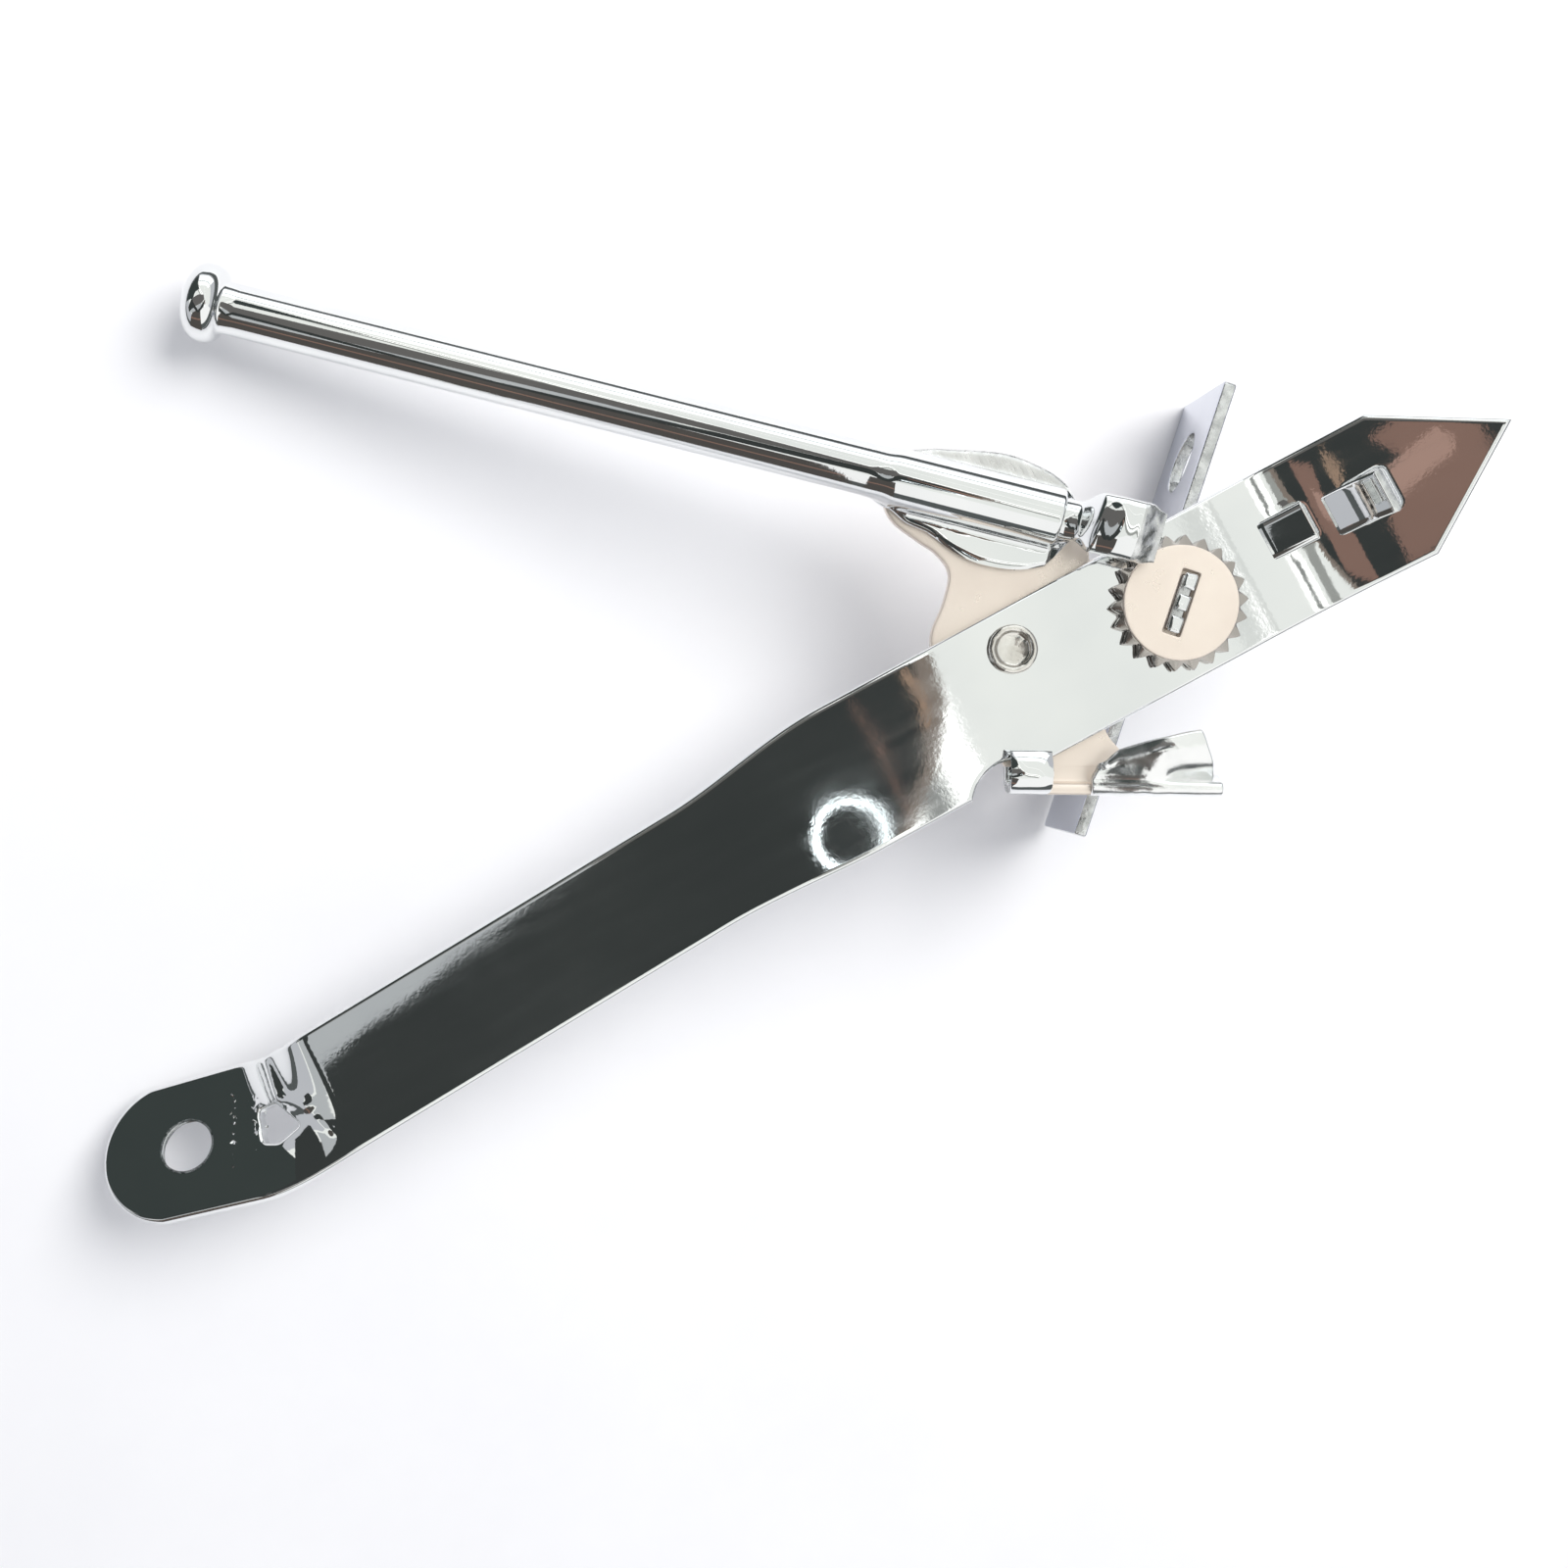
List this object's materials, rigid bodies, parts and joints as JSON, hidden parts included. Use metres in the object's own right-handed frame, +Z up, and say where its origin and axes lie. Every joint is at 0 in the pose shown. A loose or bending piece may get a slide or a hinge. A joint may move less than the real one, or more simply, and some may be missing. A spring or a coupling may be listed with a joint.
{
  "type": "hand can opener",
  "caption": "Chromed hand can opener: long plate handle with punching tip, lever bar, toothed feed wheel with turning key, folded cutter and hang hole.",
  "frame": {"origin": "centre of the footprint at bench level, with the opener lying as it rests, front face up", "axes": "+Z up, +X along the plate handle towards the punching tip, +Y towards the lever bar"},
  "size_m": [0.1869, 0.115, 0.0431],
  "materials": {
    "frame_plate": "bright chrome plate",
    "handle_bar": "bright chrome plate over a forged bar",
    "turning_key": "bright chrome plate, sheared edges",
    "rivet": "bright plate",
    "lever_plate": "satin nickel plate, bright cutter",
    "feed_wheel": "satin nickel plate",
    "washers": "plain steel"
  },
  "bodies": {
    "frame": {"frame_plate": "frame_plate", "pivot_rivet": "rivet", "pivot_washer": "washers"},
    "lever": {"lever_plate": "lever_plate", "handle_bar": "handle_bar"},
    "key": {"turning_key": "turning_key", "feed_wheel": "feed_wheel", "key_washer": "washers"}
  },
  "joints": [
    {"name": "lever_pivot", "type": "hinge", "parent": "frame", "child": "lever", "pos_m": [0.03318, -0.02756, 0.02638], "axis": [-0.1144, 0.1666, 0.9794], "range_deg": [-8, 27]},
    {"name": "key_turn", "type": "hinge", "parent": "frame", "child": "key", "pos_m": [0.053, -0.0319, 0.02943], "axis": [-0.1144, 0.1666, 0.9794], "continuous": true}
  ]
}
